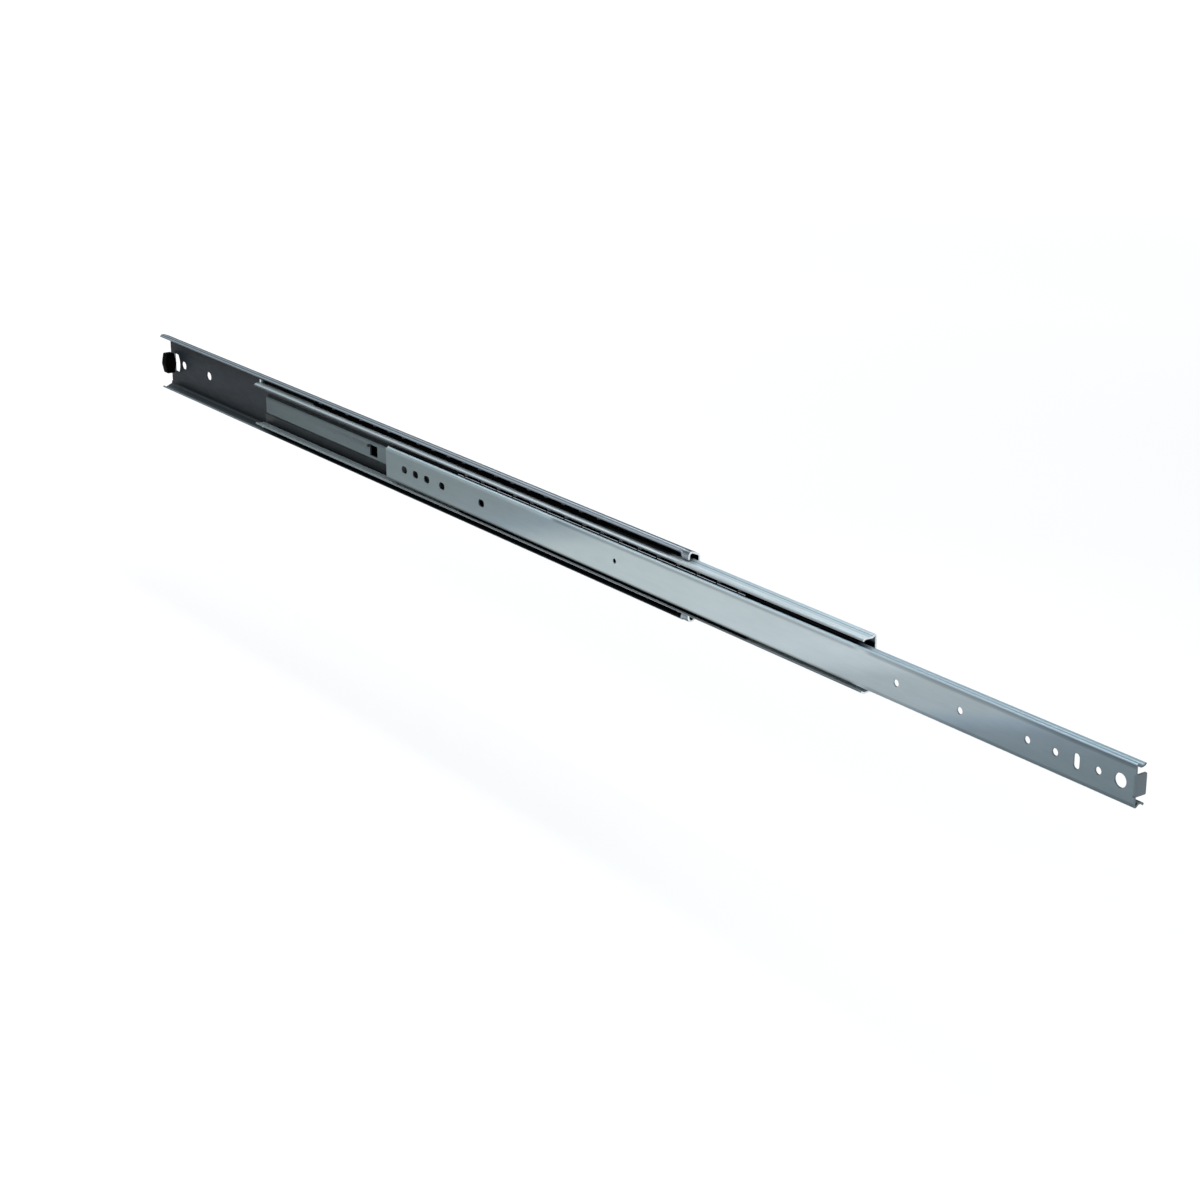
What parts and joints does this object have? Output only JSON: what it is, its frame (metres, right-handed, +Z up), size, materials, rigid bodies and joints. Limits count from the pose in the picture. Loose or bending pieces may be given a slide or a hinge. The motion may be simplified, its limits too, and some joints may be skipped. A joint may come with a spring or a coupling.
{
  "type": "drawer slide",
  "caption": "Full-extension side-mounted drawer slide in rolled zinc-plated steel, with three nested members on caged balls, shown part open.",
  "frame": {"origin": "centre of the middle one of the three front mounting holes of the cabinet member, on the face that lies against the cabinet side", "axes": "+X along the slide, the way the drawer pulls out; +Y into the cabinet side the slide is screwed to, so the drawer is on the -Y side; +Z up"},
  "size_m": [1.3892, 0.0191, 0.0584],
  "materials": {
    "zinc_steel": "satin zinc plating",
    "dark_cage": "dark",
    "grey_cage": "satin",
    "ball_steel": "polished",
    "bumper_rubber": "matt"
  },
  "bodies": {
    "cabinet_side": {"cabinet_member": "zinc_steel", "rear_bumper": "bumper_rubber"},
    "intermediate": {"intermediate_member": "zinc_steel"},
    "drawer_side": {"drawer_member": "zinc_steel"},
    "upper_outer_cage": {"outer_cage_upper": "dark_cage", "outer_balls_upper_front": "ball_steel", "outer_balls_upper_middle": "ball_steel", "outer_balls_upper_rear": "ball_steel"},
    "lower_outer_cage": {"outer_cage_lower": "dark_cage", "outer_balls_lower_front": "ball_steel", "outer_balls_lower_middle": "ball_steel", "outer_balls_lower_rear": "ball_steel"},
    "upper_inner_cage": {"inner_cage_upper": "grey_cage", "inner_balls_upper_front": "ball_steel", "inner_balls_upper_middle": "ball_steel", "inner_balls_upper_rear": "ball_steel"},
    "lower_inner_cage": {"inner_cage_lower": "grey_cage", "inner_balls_lower_front": "ball_steel", "inner_balls_lower_middle": "ball_steel", "inner_balls_lower_rear": "ball_steel"}
  },
  "joints": [
    {"name": "intermediate_slide", "type": "slide", "parent": "cabinet_side", "child": "intermediate", "axis": [1, 0, 0], "range_m": [-0.2129, 0.206]},
    {"name": "drawer_slide", "type": "slide", "parent": "intermediate", "child": "drawer_side", "axis": [1, 0, 0], "range_m": [-0.2594, 0.236]},
    {"name": "upper_outer_roll", "type": "slide", "parent": "cabinet_side", "child": "upper_outer_cage", "axis": [1, 0, 0], "range_m": [-0.10645, 0.103]},
    {"name": "lower_outer_roll", "type": "slide", "parent": "cabinet_side", "child": "lower_outer_cage", "axis": [1, 0, 0], "range_m": [-0.10645, 0.103]},
    {"name": "upper_inner_roll", "type": "slide", "parent": "intermediate", "child": "upper_inner_cage", "axis": [1, 0, 0], "range_m": [-0.1297, 0.118]},
    {"name": "lower_inner_roll", "type": "slide", "parent": "intermediate", "child": "lower_inner_cage", "axis": [1, 0, 0], "range_m": [-0.1297, 0.118]}
  ],
  "couplings": [
    {"joint": "upper_outer_roll", "follows": "intermediate_slide", "ratio": 0.5},
    {"joint": "lower_outer_roll", "follows": "intermediate_slide", "ratio": 0.5},
    {"joint": "upper_inner_roll", "follows": "drawer_slide", "ratio": 0.5},
    {"joint": "lower_inner_roll", "follows": "drawer_slide", "ratio": 0.5}
  ]
}
